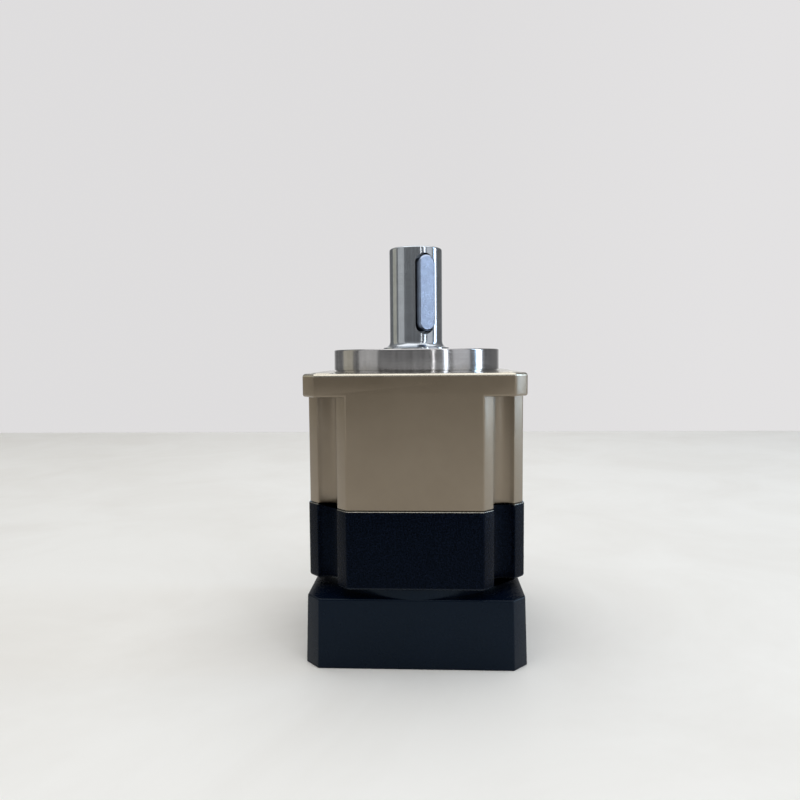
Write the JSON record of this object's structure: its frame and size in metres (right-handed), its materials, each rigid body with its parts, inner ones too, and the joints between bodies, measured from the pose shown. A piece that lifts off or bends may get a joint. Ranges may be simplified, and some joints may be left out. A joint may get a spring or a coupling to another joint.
{
  "type": "planetary gearbox",
  "caption": "Inline planetary gearbox: keyed output shaft and pilot on a square mounting flange, and a clamped motor input behind a square adapter plate.",
  "frame": {"origin": "centre of the motor face, at the bottom of the motor adapter", "axes": "+Z along the output shaft towards its free end; -Y is the front of the casing"},
  "size_m": [0.0608, 0.0608, 0.1162],
  "materials": {
    "champagne_coat": "satin metallic coat, champagne brown",
    "black_coat": "satin black anodised, with a fine grain",
    "adapter_coat": "smooth black anodised finish with a bluish cast",
    "turned_steel": "turned, with fine lathe lines",
    "ground_steel": "ground",
    "gear_steel": "case-hardened and honed",
    "key_steel": "ground flat",
    "bearing_steel": "polished",
    "cage_brass": "pressed",
    "fastener_steel": "blackened",
    "spring_steel": "phosphated",
    "seal_rubber": "matt"
  },
  "bodies": {
    "casing": {"gearbox_body": "champagne_coat", "pilot_sleeve": "turned_steel", "ring_gear": "gear_steel", "front_bearing_outer_race": "bearing_steel", "rear_bearing_outer_race": "bearing_steel", "output_seal": "seal_rubber", "input_housing": "black_coat", "housing_o_ring": "seal_rubber", "housing_screws": "fastener_steel", "input_bearing_outer_race": "bearing_steel", "housing_retaining_ring": "spring_steel", "input_seal": "seal_rubber", "motor_adapter": "adapter_coat", "adapter_screws": "fastener_steel"},
    "output": {"output_shaft": "ground_steel", "output_key": "key_steel", "carrier_rear_plate": "gear_steel", "carrier_screws": "fastener_steel", "planet_pins": "bearing_steel", "planet_washers": "cage_brass", "front_bearing_inner_race": "bearing_steel", "rear_bearing_inner_race": "bearing_steel", "bearing_spacer": "turned_steel", "shaft_retaining_ring": "spring_steel"},
    "input": {"input_hub": "turned_steel", "sun_gear": "gear_steel", "clamp_collar": "fastener_steel", "clamp_screw": "fastener_steel", "input_bearing_inner_race": "bearing_steel", "hub_retaining_ring": "spring_steel"},
    "planet_1": {"planet_gear_1": "gear_steel"},
    "planet_2": {"planet_gear_2": "gear_steel"},
    "planet_3": {"planet_gear_3": "gear_steel"},
    "needles_1": {"planet_needles_1": "bearing_steel"},
    "needles_2": {"planet_needles_2": "bearing_steel"},
    "needles_3": {"planet_needles_3": "bearing_steel"},
    "front_balls": {"front_bearing_balls": "bearing_steel", "front_bearing_cage": "cage_brass"},
    "rear_balls": {"rear_bearing_balls": "bearing_steel", "rear_bearing_cage": "cage_brass"},
    "input_balls": {"input_bearing_balls": "bearing_steel", "input_bearing_cage": "cage_brass"},
    "plug": {"access_plug": "seal_rubber"}
  },
  "joints": [
    {"name": "output_spin", "type": "hinge", "parent": "casing", "child": "output", "pos_m": [0, 0, 0.07], "axis": [0, 0, 1], "continuous": true},
    {"name": "input_spin", "type": "hinge", "parent": "casing", "child": "input", "pos_m": [0, 0, 0.03], "axis": [0, 0, 1], "continuous": true},
    {"name": "planet_1_spin", "type": "hinge", "parent": "output", "child": "planet_1", "pos_m": [0, 0.0144, 0.05], "axis": [0, 0, 1], "continuous": true},
    {"name": "planet_2_spin", "type": "hinge", "parent": "output", "child": "planet_2", "pos_m": [-0.01247, -0.0072, 0.05], "axis": [0, 0, 1], "continuous": true},
    {"name": "planet_3_spin", "type": "hinge", "parent": "output", "child": "planet_3", "pos_m": [0.01247, -0.0072, 0.05], "axis": [0, 0, 1], "continuous": true},
    {"name": "needles_1_roll", "type": "hinge", "parent": "output", "child": "needles_1", "pos_m": [0, 0.0144, 0.05], "axis": [0, 0, 1], "continuous": true},
    {"name": "needles_2_roll", "type": "hinge", "parent": "output", "child": "needles_2", "pos_m": [-0.01247, -0.0072, 0.05], "axis": [0, 0, 1], "continuous": true},
    {"name": "needles_3_roll", "type": "hinge", "parent": "output", "child": "needles_3", "pos_m": [0.01247, -0.0072, 0.05], "axis": [0, 0, 1], "continuous": true},
    {"name": "front_balls_roll", "type": "hinge", "parent": "casing", "child": "front_balls", "pos_m": [0, 0, 0.0754], "axis": [0, 0, 1], "continuous": true},
    {"name": "rear_balls_roll", "type": "hinge", "parent": "casing", "child": "rear_balls", "pos_m": [0, 0, 0.0644], "axis": [0, 0, 1], "continuous": true},
    {"name": "input_balls_roll", "type": "hinge", "parent": "casing", "child": "input_balls", "pos_m": [0, 0, 0.0317], "axis": [0, 0, 1], "continuous": true},
    {"name": "access_plug_pull", "type": "slide", "parent": "casing", "child": "plug", "axis": [0, 1, 0], "range_m": [0, 0.012]}
  ],
  "couplings": [
    {"joint": "input_spin", "follows": "output_spin", "ratio": 4},
    {"joint": "planet_1_spin", "follows": "output_spin", "ratio": -3},
    {"joint": "planet_2_spin", "follows": "output_spin", "ratio": -3},
    {"joint": "planet_3_spin", "follows": "output_spin", "ratio": -3},
    {"joint": "needles_1_roll", "follows": "output_spin", "ratio": -1.85},
    {"joint": "needles_2_roll", "follows": "output_spin", "ratio": -1.85},
    {"joint": "needles_3_roll", "follows": "output_spin", "ratio": -1.85},
    {"joint": "front_balls_roll", "follows": "output_spin", "ratio": 0.413},
    {"joint": "rear_balls_roll", "follows": "output_spin", "ratio": 0.413},
    {"joint": "input_balls_roll", "follows": "output_spin", "ratio": 1.704}
  ]
}
